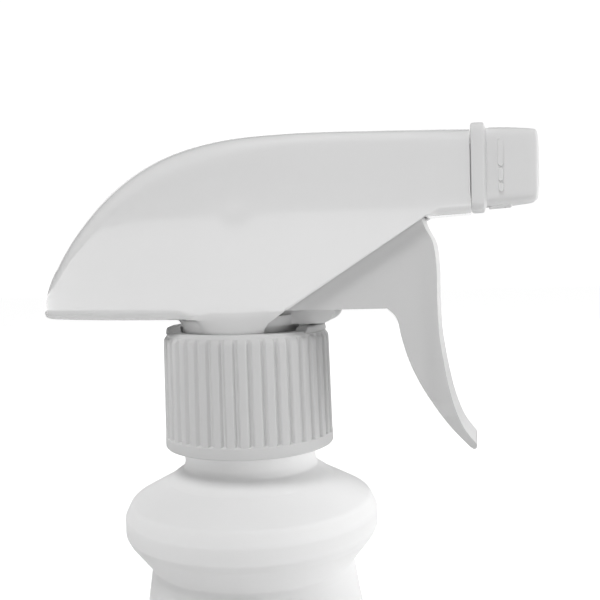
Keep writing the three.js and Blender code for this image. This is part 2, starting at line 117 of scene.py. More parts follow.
def soft_light(name, place, target, size, strength, mirrored=False):
    """An area light of a strength in watts, aimed at a point, and seen at most in reflections."""
    light = bpy.data.lights.new(name, "AREA")
    light.shape = "RECTANGLE"
    light.size, light.size_y = size
    light.energy = strength
    lamp = bpy.data.objects.new(name, light)
    scene.collection.objects.link(lamp)
    aim = (Vector(target) - Vector(place)).to_track_quat("-Z", "Y")
    lamp.matrix_world = Matrix.Translation(place) @ aim.to_matrix().to_4x4()
    lamp.visible_camera = False
    lamp.visible_glossy = mirrored


head_centre = (0, 0, SEAT + 0.03)
soft_light("key", (-0.1, -0.4, 1.0), head_centre, (0.4, 0.4), 5)
soft_light("left_flank", (-0.85, 0.3, 0.25), (0, 0, 0.15), (0.8, 0.5), 1)
soft_light("right_flank", (0.85, 0.15, 0.25), (0, 0, 0.15), (0.8, 0.5), 4.5)
soft_light("backdrop", (0, 2.2, 0.85), (0, 0, 0.85), (5, 1.7), 22, mirrored=True)
soft_light("low_strip", (0, -1.2, 0.135), (0, 0, 0.135), (3, 0.27), 3.5, mirrored=True)
for name, x in (("left_strip", -1.5), ("right_strip", 1.5)):
    soft_light(name, (x, 0.3, 0.135), (0, 0.3, 0.135), (3, 0.27), 3.5, mirrored=True)


def world_light(seen, lighting):
    """A plain white surround: what the camera sees, and the dimmer level that lights the object."""
    world = bpy.data.worlds.new("surround")
    scene.world = world
    world.use_nodes = True
    tree = world.node_tree
    background = tree.nodes["Background"]
    path = tree.nodes.new("ShaderNodeLightPath")
    level = tree.nodes.new("ShaderNodeMapRange")
    level.inputs["To Min"].default_value = lighting
    level.inputs["To Max"].default_value = seen
    tree.links.new(path.outputs["Is Camera Ray"], level.inputs["Value"])
    tree.links.new(level.outputs["Result"], background.inputs["Strength"])
    background.inputs["Color"].default_value = (1, 1, 1, 1)


world_light(seen=1.05, lighting=0.12)


def floor_plane(size, whiteness):
    mesh = bpy.data.meshes.new("floor")
    corners = [(-size, -size, 0), (size, -size, 0), (size, size, 0), (-size, size, 0)]
    mesh.from_pydata(corners, [], [(0, 1, 2, 3)])
    floor = bpy.data.objects.new("floor", mesh)
    scene.collection.objects.link(floor)
    material = bpy.data.materials.new("floor_paper")
    material.use_nodes = True
    tree = material.node_tree
    shader = tree.nodes["Principled BSDF"]
    shader.inputs["Base Color"].default_value = (0.75, 0.75, 0.75, 1)
    shader.inputs["Roughness"].default_value = 0.9
    path = tree.nodes.new("ShaderNodeLightPath")
    level = tree.nodes.new("ShaderNodeMapRange")
    level.inputs["To Max"].default_value = whiteness
    tree.links.new(path.outputs["Is Camera Ray"], level.inputs["Value"])
    level.inputs["To Min"].default_value = 0.1
    tree.links.new(level.outputs["Result"], shader.inputs["Emission Strength"])
    shader.inputs["Emission Color"].default_value = (1, 1, 1, 1)
    mesh.materials.append(material)


floor_plane(size=4, whiteness=0.9)

# %% [markdown]
# ## Shader maths
# A finish is easier to read as an expression than as a wiring diagram. `Wire` wraps a node's output, and
# its operators add Math nodes. Every other node comes from `Finish.node`, which takes the settings first
# and then the values or wires of its inputs.

# %% Wires and finishes


def unwrap(value):
    return value.socket if isinstance(value, Wire) else value


class Wire:
    """A number flowing through a material."""

    def __init__(self, finish, socket):
        self.finish, self.socket = finish, socket

    def _math(self, operation, *values):
        return self.finish.node("Math", {"operation": operation}, dict(enumerate(values)))

    def __add__(self, other):
        return self._math("ADD", self, other)

    def __radd__(self, other):
        return self._math("ADD", other, self)

    def __sub__(self, other):
        return self._math("SUBTRACT", self, other)

    def __rsub__(self, other):
        return self._math("SUBTRACT", other, self)

    def __mul__(self, other):
        return self._math("MULTIPLY", self, other)

    def __rmul__(self, other):
        return self._math("MULTIPLY", other, self)


class Finish:
    """One material: its shader, the constants on its sockets, and the nodes in front of it."""

    def __init__(self, name, **constants):
        self.material = bpy.data.materials.new(name)
        self.material.use_nodes = True
        self.tree = self.material.node_tree
        self.shader = self.tree.nodes["Principled BSDF"]
        self.place = self.node("TexCoord", output="Object")
        for socket, value in constants.items():
            self.shader.inputs[socket.replace("_", " ").title().replace("Ior", "IOR")].default_value = value

    def node(self, kind, settings=None, values=None, output=0):
        made = self.tree.nodes.new("ShaderNode" + kind)
        for name, value in (settings or {}).items():
            setattr(made, name, value)
        for socket, value in (values or {}).items():
            source = unwrap(value)
            if isinstance(source, bpy.types.NodeSocket):
                self.tree.links.new(source, made.inputs[socket])
            else:
                made.inputs[socket].default_value = source
        return Wire(self, made.outputs[output])

    def noise(self, size, detail=2.0, stretch=(1, 1, 1)):
        """Soft random variation whose blotches are about size metres across."""
        vector = self.node("Mapping", None, {"Vector": self.place, "Scale": stretch})
        return self.node("TexNoise", None, {"Vector": vector, "Scale": 1 / size, "Detail": detail})

    def mix(self, factor, low, high):
        """A colour between two, by a factor from 0 to 1."""
        made = self.tree.nodes.new("ShaderNodeMix")
        made.data_type = "RGBA"
        self.tree.links.new(unwrap(factor), made.inputs[0])
        made.inputs[6].default_value, made.inputs[7].default_value = (*low, 1), (*high, 1)
        return Wire(self, made.outputs[2])

    def ramp(self, value, start, end):
        """0 below start, 1 above end."""
        return self.node("MapRange", None, {"Value": value, "From Min": start, "From Max": end})

    def drive(self, socket, value):
        self.tree.links.new(unwrap(value), self.shader.inputs[socket])

    def bump(self, height, depth):
        """Depth in metres of a height that runs from 0 to 1."""
        self.drive("Normal", self.node("Bump", None, {"Height": height, "Distance": depth}))


# %% [markdown]
# ## Finishes
# Nearly everything here is moulded polypropylene or polyethylene, white but not one white. The cover comes
# from a polished mould, so it is glossy with a faint waviness. The closure, nozzle and lever come from
# finely blasted moulds. The bottle is blow moulded: softer, a little translucent, with the slight orange
# peel of that process.

# %% Finishes


def moulded_plastic(
    name, tint, rough, grain=0.00025, grain_depth=0.000004, wave=0.0, seam=0.0, shift=0.012, **constants
):
    """White plastic: a slow drift in tone, uneven gloss and a fine grain. Waviness, and a parting line in the
    plane Y = 0 where the mould halves met, are optional."""
    finish = Finish(name, **constants)
    drift = finish.noise(0.02, detail=1.0)
    darker = tuple(c * (1 - 2 * shift) for c in tint)
    finish.drive("Base Color", finish.mix(drift, darker, tint))
    finish.drive("Roughness", finish.noise(0.006) * (rough * 0.25) + rough * 0.875)
    height = finish.noise(grain, detail=3.0)
    if wave:
        height = height + finish.noise(0.011, detail=0.0) * (wave / grain_depth)
    if seam:
        across = finish.node("SeparateXYZ", None, {"Vector": finish.place}, output=1)
        beside = finish.ramp(finish.node("Math", {"operation": "ABSOLUTE"}, {0: across}), 0.00008, 0.0003)
        height = height + (1 - beside) * (seam / grain_depth)
    finish.bump(height, grain_depth)
    return finish.material


WHITE = (0.86, 0.86, 0.86)
finishes = {
    "cover": moulded_plastic(
        "cover_polished", WHITE, 0.12, grain=0.0006, grain_depth=0.0000004, wave=0.00001,
        coat_weight=0.8, coat_roughness=0.03, ior=1.5,
    ),
    "closure": moulded_plastic("closure_satin", (0.66, 0.66, 0.66), 0.42, grain_depth=0.000008),
    "lever": moulded_plastic("lever_satin", (0.66, 0.66, 0.66), 0.34, grain_depth=0.000005),
    "nozzle": moulded_plastic("nozzle_satin", (0.8, 0.8, 0.8), 0.38, grain_depth=0.000006),
    "body": moulded_plastic("pump_moulding", (0.84, 0.84, 0.84), 0.4),
    "natural": moulded_plastic(
        "natural_polyethylene", (0.8, 0.82, 0.82), 0.32, subsurface_weight=0.3, subsurface_scale=0.002,
        subsurface_radius=(1, 1, 1),
    ),
    "bottle": moulded_plastic(
        "bottle_blown", (0.94, 0.94, 0.94), 0.6, grain=0.0014, grain_depth=0.00001, wave=0.00004,
        seam=0.00006, specular_ior_level=0.3, subsurface_weight=0.4, subsurface_scale=0.004,
        subsurface_radius=(1, 1, 1),
    ),
    "rubber": moulded_plastic("seal_rubber", (0.045, 0.046, 0.05), 0.7, grain_depth=0.00001, shift=0.1),
}


def drawn_steel(name):
    """Spring and ball steel: bright, with fine drawing lines and a trace of stain."""
    finish = Finish(name, metallic=1.0)
    lines = finish.noise(0.0002, detail=2.0, stretch=(0.1, 1, 1))
    finish.drive("Base Color", finish.mix(finish.noise(0.002), (0.5, 0.51, 0.53), (0.64, 0.65, 0.67)))
    finish.drive("Roughness", lines * 0.15 + 0.16)
    finish.bump(lines, 0.000004)
    return finish.material


finishes["steel"] = drawn_steel("drawn_steel")
print(len(finishes), "finishes:", ", ".join(finishes))

# %% [markdown]
# ## Mesh tools
# Most pieces are skins over rings of points. `skin` joins rings of equal length, `turned_skin` spins an
# outline, and `rounded` gives an outline's corners a radius, so that an edge catches light as a moulded
# edge does. Lengths are written in millimetres above the closure's lower edge, as on a drawing, and scaled
# once at the end.

# %% Mesh tools


def piece(name, vertices, faces, finish, sharp=35, merge=0.002):
    """A mesh object from points in millimetres above the closure's lower edge."""
    mesh = bpy.data.meshes.new(name)
    points = [(x * MM, y * MM, z * MM + SEAT) for x, y, z in vertices]
    mesh.from_pydata(points, [], [tuple(face) for face in faces])
    clean(mesh, merge * MM)
    made = bpy.data.objects.new(name, mesh)
    scene.collection.objects.link(made)
    mesh.materials.append(finishes[finish])
    smooth(mesh, sharp)
    return made


def clean(mesh, distance):
    """Merges doubled points, drops faces that collapsed, and turns every face outwards."""
    bm = bmesh.new()
    bm.from_mesh(mesh)
    bmesh.ops.remove_doubles(bm, verts=bm.verts, dist=distance)
    collapsed = [face for face in bm.faces if face.calc_area() < distance**2 * 0.01]
    bmesh.ops.delete(bm, geom=collapsed, context="FACES_ONLY")
    bmesh.ops.recalc_face_normals(bm, faces=bm.faces)
    bm.to_mesh(mesh)
    bm.free()


def smooth(mesh, sharp):
    mesh.polygons.foreach_set("use_smooth", [True] * len(mesh.polygons))
    mesh.set_sharp_from_angle(angle=math.radians(sharp))


def skin(rings, closed_ring=True, closed_length=False):
    """Points and faces of a skin over rings of equally many points."""
    count = len(rings[0])
    assert all(len(ring) == count for ring in rings), "rings of different lengths"
    vertices = [tuple(point) for ring in rings for point in ring]
    faces = []
    spans = len(rings) if closed_length else len(rings) - 1
    for i in range(spans):
        a, b = i * count, ((i + 1) % len(rings)) * count
        for k in range(count if closed_ring else count - 1):
            n = (k + 1) % count
            faces.append((a + k, a + n, b + n, b + k))
    return vertices, faces


def rounded(outline, radius, steps=5, closed=False):
    """An outline whose corners have a radius. A point may carry its own radius as a third value."""
    points = [Vector(p[:2]) for p in outline]
    radii = [p[2] if len(p) > 2 else radius for p in outline]
    last = len(points) - 1
    made = []
    for i, corner in enumerate(points):
        if not closed and i in (0, last):
            made.append(tuple(corner))
            continue
        before, after = points[i - 1] - corner, points[(i + 1) % len(points)] - corner
        turn = before.angle(after, math.pi)
        if radii[i] <= 0:
            made.append(tuple(corner))
            continue
        reach = min(radii[i] / math.tan(turn / 2), 0.45 * before.length, 0.45 * after.length)
        start, end = corner + before.normalized() * reach, corner + after.normalized() * reach
        for k in range(steps + 1):
            t = k / steps
            made.append(tuple(start * (1 - t) ** 2 + corner * (2 * t * (1 - t)) + end * t**2))
    return made


def turned_skin(outline, segments, closed=False):
    """An outline of (radius, height) spun about Z."""
    rings = []
    for r, z in outline:
        angles = [2 * math.pi * k / segments for k in range(segments)]
        rings.append([(r * math.cos(a), r * math.sin(a), z) for a in angles])
    return skin(rings, closed_length=closed)


def curve_through(points, per_span=16):
    """A smooth line through points, as a list of (a, b)."""
    p = [Vector(q) for q in points]
    line = []
    for i in range(len(p) - 1):
        p0, p1, p2, p3 = p[max(i - 1, 0)], p[i], p[i + 1], p[min(i + 2, len(p) - 1)]
        for k in range(per_span):
            t = k / per_span
            v1, v2 = (p2 - p0) / 2, (p3 - p1) / 2
            a = (2 * p1 - 2 * p2 + v1 + v2) * t**3
            line.append(a + (3 * p2 - 3 * p1 - 2 * v1 - v2) * t**2 + v1 * t + p1)
    return [tuple(q) for q in line] + [tuple(p[-1])]


def smoothstep(value, start, end):
    t = min(max((value - start) / (end - start), 0), 1)
    return t * t * (3 - 2 * t)


def finished(made):
    """The object's mesh with its modifiers worked in, and the modifiers gone."""
    bpy.context.view_layer.update()
    evaluated = made.evaluated_get(bpy.context.evaluated_depsgraph_get())
    mesh = bpy.data.meshes.new_from_object(evaluated)
    made.modifiers.clear()
    made.data = mesh
    mesh.name = made.name
    return made


def stands_for(made, body, slot, *replaced):
    """Says what a finished piece rides on and which CAD pieces it stands for. The slot argument is not used.
    """
    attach(made, body)
    if replaced:
        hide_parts(*replaced)
    print(f"{made.name}: {len(made.data.polygons)} faces, rides on {body}")


# %% [markdown]
# ## Bottle
# A blow-moulded bottle is one thin skin of revolution, so it is a turned outline. The outside has a rounded
# foot, a shallow label panel, a long flare up to a narrow waist, the gripping bulge and the neck. The
# inside is the same line moved in by the wall, which also makes the base's wall. The base is pushed up in
# the middle, so that the bottle stands on a ring, and a parting line runs up each side where the mould
# halves met.

# %% Bottle outline
WALL = 1.3
THREAD_PITCH = 4.233
FOOT = -SEAT / MM  # height of the base below the closure's lower edge
bulge = rounded(
    [
        (21.1, -27.4), (20.75, -25), (20.7, -23.6, 1.2), (24.9, -18.2, 2), (25.6, -16.8, 1.6),
        (25.6, -13.4, 1.6), (24.3, -10.8, 2), (17, -6.9, 2), (13.6, -4.5, 1), (13.3, -3.4),
    ],
    1,
)
flare = [(34.6, FOOT + 86), (31.8, -70), (25, -49), (22.05, -33.2), (21.35, -29)]
foot_corner = [
    (30 + 5 * math.sin(math.radians(a)), FOOT + 5 - 5 * math.cos(math.radians(a))) for a in range(0, 91, 9)
]
panel = rounded(
    [
        (35, FOOT + 14), (35, FOOT + 18), (34.6, FOOT + 19),
        (34.6, FOOT + 77), (35, FOOT + 78), (35, FOOT + 83),
    ],
    1.5,
)
outside = (
    [(0, FOOT + 1.6), (12, FOOT + 1.5), (24, FOOT + 0.9), (27.5, FOOT + 0.15)]
    + foot_corner
    + panel
    + curve_through(flare, 10)
    + bulge
    + rounded([(13.3, -3), (13.3, 0.4), (12.4, 1.2), (12.4, 15.5)], 0.5)
)
lip = rounded([(12.4, 16), (12.4, 17.2, 0.5), (10.6, 17.2, 0.4), (10.6, 15)], 0.5)


def moved_in(outline, wall):
    """The outline moved towards the axis and inwards by the wall."""
    made = []
    for i in range(len(outline)):
        (r0, z0), (r1, z1) = outline[max(i - 1, 0)], outline[min(i + 1, len(outline) - 1)]
        length = math.hypot(r1 - r0, z1 - z0) or 1
        r, z = outline[i]
        made.append((max(r - wall * (z1 - z0) / length, 0), z + wall * (r1 - r0) / length))
    return made


neck_start = next(i for i, (r, z) in enumerate(outside) if z > -3.7)
inside = moved_in(outside[:neck_start], WALL)[::-1]
inside = [(min(r, 24.4), z) if z > -26 else (r, z) for r, z in inside]
bottle_line = outside + lip + [(10.6, -2.4)] + inside
print(len(bottle_line), "points in the bottle's outline")

# %% Bottle
bottle_skin = piece("bottle_shell", *turned_skin(bottle_line, 144), "bottle", sharp=50)


def raised_helix(name, inner, outer, half_root, half_tip, start_z, turns, finish):
    """A thread ridge that rises from nothing and sinks back to nothing."""
    per_turn, run_in = 72, 12
    steps = round(turns * per_turn)
    rings = []
    for i in range(steps + 1):
        angle = 2 * math.pi * i / per_turn
        z = start_z + THREAD_PITCH * i / per_turn
        risen = min(smoothstep(i, 0, run_in), smoothstep(steps - i, 0, run_in))
        tip = inner + (outer - inner) * risen
        section = [(inner, -half_root), (tip, -half_tip), (tip, half_tip), (inner, half_root)]
        rings.append([(r * math.cos(angle), r * math.sin(angle), z + dz) for r, dz in section])
    vertices, faces = skin(rings)
    faces += [(3, 2, 1, 0), tuple(steps * 4 + k for k in range(4))]
    return piece(name, vertices, faces, finish, sharp=50)


bottle_thread = raised_helix("bottle_thread", 12.2, 13.6, 1.1, 0.5, 9.2, 1.15, "bottle")
stands_for(bottle_skin, "bottle", "bottle_plastic", "bottle")
stands_for(bottle_thread, "bottle", "bottle_plastic", "bottle")

# %% [markdown]
# ## Closure
# The closure is a turned cup with a smooth band at its foot and forty flutes that end in rounded shoulders.
# The cup is one outline. The flutes are what repeats, so Geometry Nodes turns copies of one rib round the
# closure's axis: the rib, the number of copies, the first one's turn and the height are the tree's inputs.

# %% Closure cup
cup_line = rounded(
    [
        (9.6, 19), (14.1, 19), (14.1, 0.5), (14.6, 0), (17, 0, 0.5), (17, 2.35, 0.3), (16.35, 2.6),
        (16.05, 22.6, 0.3), (15.5, 23.2, 0.4), (13.1, 23.2, 0.3), (13.1, 21), (9.6, 21),
    ],
    0.25,
    closed=True,
)
closure_cup = piece("closure_cup", *turned_skin(cup_line, 160, closed=True), "closure")


LUG_FOOT, LUG_TOP = 22.9, 24


def closure_lug(name, middle, half_angle):
    """A low raised lug on the top ring, an arc with rounded ends."""
    section = rounded([(13.25, LUG_FOOT), (13.25, LUG_TOP, 0.3), (16, LUG_TOP, 0.5), (16.2, LUG_FOOT)], 0.3)
    rings = []
    for k in range(25):
        share = k / 24 * 2 - 1
        fade = math.sqrt(max(1 - abs(share) ** 14, 0))
        angle = middle + share * half_angle
        rings.append(
            [(r * math.cos(angle), r * math.sin(angle), LUG_FOOT + (z - LUG_FOOT) * fade) for r, z in section]
        )
    vertices, faces = skin(rings)
    return piece(name, vertices, faces, "closure")


lugs = [closure_lug("closure_lug_front", 0, math.radians(30))]
lugs.append(closure_lug("closure_lug_rear", math.pi, math.radians(30)))


# %% One rib
RIB_COUNT = 40


def rib_shape():
    """One rib, standing on the +X side: flat topped, with rounded flanks and a shoulder that leans in."""
    rings = []
    for z in [1.9, *np.linspace(2.4, 20.8, 15), 21.4, 21.9, 22.3, 22.6, 22.8]:
        sunk = 0.8 * smoothstep(z, 21.2, 23) ** 1.5
        crest = 16.9 - 0.3 * (z - 1) / 21.2 - sunk
        root = 16.15 - 0.3 * (z - 1) / 21.2
        pitch = crest * 2 * math.pi / RIB_COUNT
        half, flank = pitch * 0.27, pitch * 0.2
        outline = rounded(
            [
                (root, -half - flank), (crest, -half, 0.22), (crest + 0.05, 0, 0),
                (crest, half, 0.22), (root, half + flank),
            ],
            0.3,
            4,
        )
        rings.append([(x, y, z) for x, y in outline])
    return skin(rings, closed_ring=False)


rib = piece("closure_rib", *rib_shape(), "closure")
for vertex in rib.data.vertices:
    vertex.co.z -= SEAT


# %% Ring of ribs
def empty_tree(name, inputs):
    """A Geometry Nodes tree with named inputs, and nothing in it yet."""
    tree = bpy.data.node_groups.new(name, "GeometryNodeTree")
    for label, kind in {"Geometry": "Geometry", **inputs, "Material": "Material"}.items():
        tree.interface.new_socket(label, in_out="INPUT", socket_type="NodeSocket" + kind)
    tree.interface.new_socket("Geometry", in_out="OUTPUT", socket_type="NodeSocketGeometry")
    return tree


def end_tree(tree, source, geometry):
    """Ends a tree: instances made real, and the material set."""
    new, link = tree.nodes.new, tree.links.new
    real = new("GeometryNodeRealizeInstances")
    paint = new("GeometryNodeSetMaterial")
    link(geometry, real.inputs[0])
    link(real.outputs[0], paint.inputs[0])
    link(source.outputs["Material"], paint.inputs["Material"])
    link(paint.outputs[0], new("NodeGroupOutput").inputs[0])
    return tree


def ring_tree():
    """Copies an object round a ring about Z, each copy facing outwards."""
    inputs = {"Piece": "Object", "Count": "Int", "Turn": "Float", "Height": "Float"}
    tree = empty_tree("ring_of_copies", inputs)
    new, link = tree.nodes.new, tree.links.new
    source = new("NodeGroupInput")
    points = new("GeometryNodePoints")
    index = new("GeometryNodeInputIndex")
    step = new("ShaderNodeMath")
    step.operation = "DIVIDE"
    step.inputs[0].default_value = 2 * math.pi
    angle = new("ShaderNodeMath")
    angle.operation = "MULTIPLY_ADD"
    turn = new("ShaderNodeCombineXYZ")
    lift = new("ShaderNodeCombineXYZ")
    info = new("GeometryNodeObjectInfo")
    copies = new("GeometryNodeInstanceOnPoints")
    link(source.outputs["Count"], points.inputs["Count"])
    link(source.outputs["Height"], lift.inputs["Z"])
    link(lift.outputs[0], points.inputs["Position"])
    link(source.outputs["Count"], step.inputs[1])
    link(index.outputs[0], angle.inputs[0])
    link(step.outputs[0], angle.inputs[1])
    link(source.outputs["Turn"], angle.inputs[2])
    link(angle.outputs[0], turn.inputs["Z"])
    link(source.outputs["Piece"], info.inputs["Object"])
    link(points.outputs[0], copies.inputs["Points"])
    link(info.outputs["Geometry"], copies.inputs["Instance"])
    link(turn.outputs[0], copies.inputs["Rotation"])
    return end_tree(tree, source, copies.outputs[0])


def grown(name, tree, values, sharp=35):
    """The plain mesh that a tree makes with these inputs."""
    made = bpy.data.objects.new(name, bpy.data.meshes.new(name))
    scene.collection.objects.link(made)
    modifier = made.modifiers.new("grow", "NODES")
    modifier.node_group = tree
    sockets = {s.name: s.identifier for s in tree.interface.items_tree if s.in_out == "INPUT"}
    for key, value in values.items():
        modifier[sockets[key]] = value
    finished(made)
    smooth(made.data, sharp)
    return made


rib_turn = math.radians(3.2)
ribs = grown(
    "closure_ribs",
    ring_tree(),
    {"Piece": rib, "Count": RIB_COUNT, "Turn": rib_turn, "Height": SEAT, "Material": finishes["closure"]},
    sharp=60,
)
bpy.data.objects.remove(rib)
closure_thread = raised_helix("closure_thread", 14.3, 12.95, 1, 0.4, 3.6, 1.6, "closure")
for made in (closure_cup, ribs, *lugs, closure_thread):
    stands_for(made, "closure", "closure_plastic", "closure")

# %% [markdown]
# ## Cover
# The cover is one thin glossy shell. In side view it has a roof line, in plan a line of half widths, and
# each cross-section runs from the ridge over a rounded corner and down the wall. It is a sheet given a wall
# by Solidify, and not a cut solid, because a sheet of even quads mirrors without dents. The wall ends on a
# slanted edge in front, and turns under into a rolled rim along the tail. A soft fold stands at the widest
# point.

# %% Cover lines
roof_points = [
    (-44.3, 27.6), (-43.8, 28.3), (-41.3, 31.9), (-37.8, 38.3), (-31.4, 45.6), (-23, 52.6), (-13, 57.5),
    (-1.4, 60), (12, 60.65), (28, 60.5), (46, 60),
]
plan_points = [
    (-44.3, 0.7), (-43.8, 1.7), (-42.2, 4.6), (-38, 8), (-30, 11), (-18, 13.15), (-5, 13.95), (8, 13.4),
    (27, 10.5), (46, 7.7),
]
roof_line, plan_line = (np.array(curve_through(points, 30)) for points in (roof_points, plan_points))
BARREL = (37, 45.2)  # where the cover closes underneath, and its front face
SKIRT = {"inner": 12.0, "outer": 12.8, "foot": 21.6, "fillet": 2.4, "top": 27.6}  # the ring over the closure
SLANT = (7.4, 25, 37, 44.1)  # the front edge, from its low end to its high end
TAIL_RIM = 26
TAIL_TIP = -43.69
FOLD = -4.6  # the widest point


def roof_at(x):
    return float(np.interp(x, *roof_line.T))


def half_at(x):
    """Half the cover's width: a smooth plan line, a little fuller at the fold, closing at the tail's tip."""
    away = math.hypot(x - FOLD, 0.8) - 0.8
    fold = 0.2 * (1 - math.exp(-away / 4)) * math.exp(-away / 14)
    nose = 4.7 * math.sqrt(max((x - TAIL_TIP) / 2.1, 0.004)) if x < TAIL_TIP + 2.1 else 99
    return min(float(np.interp(x, *plan_line.T)) - fold, nose)


def low_at(x):
    """Height of the cover's lower edge."""
    low_x, low_z, high_x, high_z = SLANT
    if x > high_x:
        return high_z + (x - high_x) * 0.045
    on_slant = low_z + (x - low_x) * (high_z - low_z) / (high_x - low_x)
    return max(TAIL_RIM + (SKIRT["top"] - TAIL_RIM) * smoothstep(x, -8, -3), on_slant)


def top_radius(x):
    return 6 - 3.6 * smoothstep(x, -28, 22)


# %% Cover sheet
def arc(centre, radius, start, end, steps):
    """Points of an arc in (y, z), angles in degrees."""
    return [
        (centre[0] + radius * math.cos(math.radians(a)), centre[1] + radius * math.sin(math.radians(a)))
        for a in np.linspace(start, end, steps)
    ]


def wall_path(x):
    """One half of the cover's section at x, from the ridge to the inner edge of the rim, as (y, z)."""
    half, roof, low = half_at(x), roof_at(x), low_at(x)
    tall = roof - low
    top = min(top_radius(x), 0.96 * half, 0.47 * tall)
    roll = min(2.1 * (1 - smoothstep(x, -10, -4)), 0.45 * tall, 0.9 * half)
    corner = 1.5 * smoothstep(x, BARREL[0], BARREL[0] + 2.5)
    crown = 0.35 * min(1, half / 10)
    ridge = [(y, roof - crown * (y / half) ** 2) for y in np.linspace(0, half - top, 12)[:-1]]
    shoulder = arc((half - top, roof - crown - top), top, 90, 0, 14)
    start, end = roof - crown - top, low + roll + corner
    wall = [(half, z) for z in np.linspace(start, end, 42)[1:]]
    lip = 2.8 * (1 - smoothstep(x, -9, -4))
    under = arc((half - roll, low + roll), roll, 0, -90, 9)[1:] if not corner else [(half, end)] * 8
    inner = max(half - max(lip, roll), 0)
    return ridge + shoulder + wall + under + [(inner, under[-1][1])]


def dimple(x, y, z):
    """A faint sink in the flank above the neck."""
    depth = 0.035 * math.exp(-((x - 2.5) ** 2 + (z - 46) ** 2) / (2 * 2.4**2))
    return (x, y - math.copysign(depth, y) if abs(y) > 8 else y, z)


tail_stations = TAIL_TIP * np.cos(np.linspace(0, math.pi / 2, 58))
front_stations = np.linspace(0, SLANT[2], 60)[1:]
barrel_stations = np.linspace(BARREL[0], BARREL[1], 14)[1:]
stations = [*tail_stations, *front_stations, *barrel_stations]
paths = [wall_path(x) for x in stations]
rings = []
for x, path in zip(stations, paths):
    left = [dimple(x, -y, z) for y, z in reversed(path)]
    right = [dimple(x, y, z) for y, z in path[1:]]
    rings.append(left + right)
vertices, faces = skin(rings, closed_ring=False)

floor_rings = []
for x in [BARREL[0], *barrel_stations]:
    half, low = half_at(x), low_at(x)
    corner = 1.5 * smoothstep(x, BARREL[0], BARREL[0] + 2.5)
    side = arc((half - corner, low + corner), corner, 0, -90, 9)
    across = [(y, low) for y in np.linspace(half - corner, 0, 8)[1:]]
    path = side + across
    floor_rings.append([(x, -y, z) for y, z in path] + [(x, y, z) for y, z in reversed(path[:-1])])
floor_vertices, floor_faces = skin(floor_rings, closed_ring=False)
offset = len(vertices)
vertices += floor_vertices
faces += [tuple(i + offset for i in face) for face in floor_faces]
cover = piece("cover_shell", vertices, faces, "cover", sharp=50, merge=0.01)
print(len(vertices), "points in the cover's sheet")


# %% Cover wall
def walled(made, wall, edge):
    """Gives a sheet its wall, inwards, and rounds the edge where it ends."""
    solidify = made.modifiers.new("wall", "SOLIDIFY")
    solidify.thickness = wall * MM
    solidify.offset = -1
    solidify.use_even_offset = False
    bevel = made.modifiers.new("edge", "BEVEL")
    bevel.width = edge * MM
    bevel.segments = 2
    bevel.limit_method = "ANGLE"
    bevel.angle_limit = math.radians(55)
    finished(made)
    smooth(made.data, 50)


walled(cover, 1.3, 0.22)

# %% [markdown]
# The skirt that drops over the closure is turned, but the cover's walls are not, so the two meet in a soft
# curve. At the sides the wall eases in to the skirt, and under the tail the skirt runs out in a fillet.
# Both are one sweep about Z whose outline changes with the direction, from one front edge round the back to
# the other.

# %% Cover skirt
FRONT_CUT = np.array([(6.2, 21.6), (6.4, 22.8), (6.8, 24.1), (7.6, 25.12), (11.43, 27.6), (14, 29.26)])


def cover_reach(angle):
    """How far from the axis the cover's wall stands in a direction."""
    near, far = 12.8, 40.0
    for _ in range(40):
        r = (near + far) / 2
        inside = abs(r * math.sin(angle)) < half_at(r * math.cos(angle)) and r * math.cos(angle) > -44
        near, far = (r, far) if inside else (near, r)
    return near


def skirt_radius(z, angle, reach):
    """The skirt's outside at a height: eased out to the wall, or under the tail filleted."""
    outer, fillet = SKIRT["outer"], SKIRT["fillet"]
    eased = outer + (reach - outer) * smoothstep(z, 22.7, SKIRT["top"])
    up = min(max(z - (TAIL_RIM + 0.02 - fillet), 0), fillet)
    filleted = outer + fillet - math.sqrt(fillet**2 - up**2)
    from_front = abs(math.degrees(angle) - 180)
    share = smoothstep(reach - outer, 1.4, 3) * (1 - smoothstep(from_front, 62, 84))
    return min(eased + (filleted - eased) * share, reach)


def skirt_section(angle):
    """The skirt's closed section in a direction, or nothing where the front is cut away."""
    reach = cover_reach(angle)
    heights = np.linspace(SKIRT["foot"], SKIRT["top"], 120)
    forward = [skirt_radius(z, angle, reach) * math.cos(angle) for z in heights]
    kept = [z for z, x in zip(heights, forward) if x < np.interp(z, *FRONT_CUT.T[::-1])]
    if len(kept) < 4:
        return None
    low, top = kept[0], SKIRT["top"]
    outer = [(skirt_radius(z, angle, reach), z) for z in np.linspace(low + 0.15, top, 24)]
    proud = outer[-1][0] + (0.015 if outer[-1][0] > reach - 0.01 else 0)
    edge = (outer[0][0] - 0.15, low)
    inner_r = min(SKIRT["inner"] + max(low - 22, 0) * 0.9, outer[0][0] - 0.6)
    above = [(proud, top + 0.5), (max(proud - 1.2, inner_r), top + 0.5)]
    return [edge] + outer + above + [(inner_r, low + 0.4), (inner_r + 0.1, low)]


skirt_rings = []
for angle in np.radians(np.concatenate([np.arange(46, 76, 0.5), np.arange(76, 180.1, 2)])):
    section = skirt_section(angle)
    if section:
        skirt_rings.append([(r * math.cos(angle), r * math.sin(angle), z) for r, z in section])
skirt_rings += [[(x, -y, z) for x, y, z in ring] for ring in reversed(skirt_rings[:-1])]
vertices, faces = skin(skirt_rings)
count, last = len(skirt_rings[0]), (len(skirt_rings) - 1) * len(skirt_rings[0])
faces += [tuple(range(count))[::-1], tuple(last + k for k in range(count))]
skirt = piece("cover_skirt", vertices, faces, "cover", sharp=40)

# %% [markdown]
# The barrel's front is closed by a plate with a round hole for the discharge tube, which stops just short
# of the nozzle's flange.

# %% Barrel plate
RING = 96
DISCHARGE_Z = (joints["nozzle_turn"]["pos_m"][2] - SEAT) / MM


